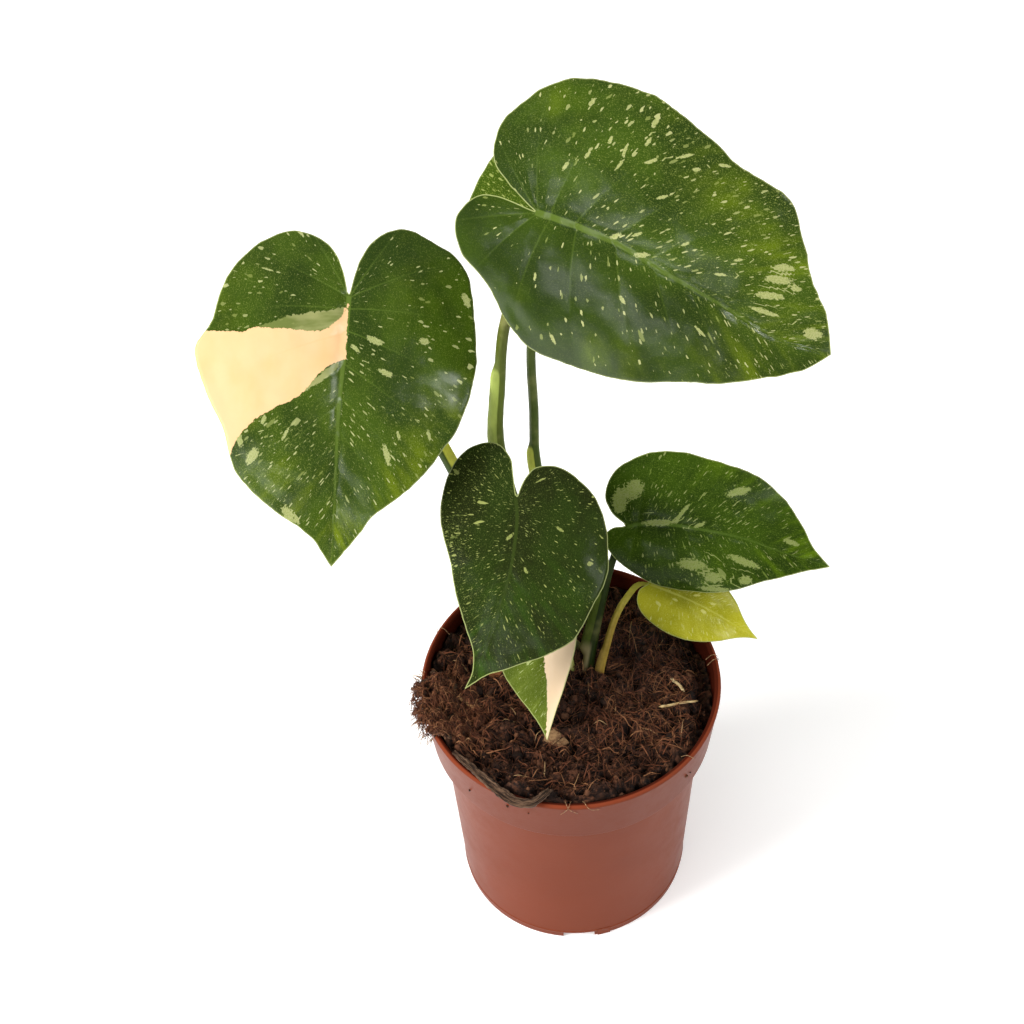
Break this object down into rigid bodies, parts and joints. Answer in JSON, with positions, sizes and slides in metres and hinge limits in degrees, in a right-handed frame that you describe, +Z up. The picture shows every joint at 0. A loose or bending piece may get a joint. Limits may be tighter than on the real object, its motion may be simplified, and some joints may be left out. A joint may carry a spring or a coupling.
{
  "type": "potted variegated monstera",
  "caption": "Young variegated monstera in a tapered nursery pot of potting mix: long petioles carry heart-shaped green blades flecked and splashed with cream.",
  "frame": {"origin": "on the ground under the pot's axis, at the centre of the pad under its floor", "axes": "+Z up along the pot's axis; most blades face -Y, and the largest one points to +X"},
  "size_m": [0.2433, 0.2168, 0.3719],
  "materials": {
    "pot_plastic": "satin",
    "potting_mix": "rough, fibrous",
    "stem": "matte",
    "petiole": "satin",
    "leaf_green": "glossy",
    "leaf_dark": "glossy",
    "leaf_cream_sector": "glossy",
    "leaf_lime": "satin",
    "leaf_half_cream": "satin",
    "leaf_fresh": "glossy",
    "bark": "rough",
    "wood_chip": "rough",
    "bark_chip": "rough",
    "dark_twig": "rough",
    "straw": "matte"
  },
  "bodies": {
    "root": {"pot": "pot_plastic", "potting_mix": "potting_mix", "stem": "stem", "petiole_upper_right": "petiole", "leaf_upper_right": "leaf_green", "petiole_left": "petiole", "leaf_left": "leaf_cream_sector", "petiole_centre": "petiole", "leaf_centre": "leaf_dark", "petiole_right": "petiole", "leaf_right": "leaf_green", "petiole_low_right": "petiole", "leaf_low_right": "leaf_lime", "petiole_low_front": "petiole", "leaf_low_front": "leaf_half_cream", "petiole_back": "petiole", "leaf_back": "leaf_fresh", "bark_strip": "bark", "wood_chip": "wood_chip", "bark_chip": "bark_chip", "twig_dark": "dark_twig", "twig_tan": "straw", "straw_long": "straw", "straw_short": "straw"}
  },
  "joints": []
}
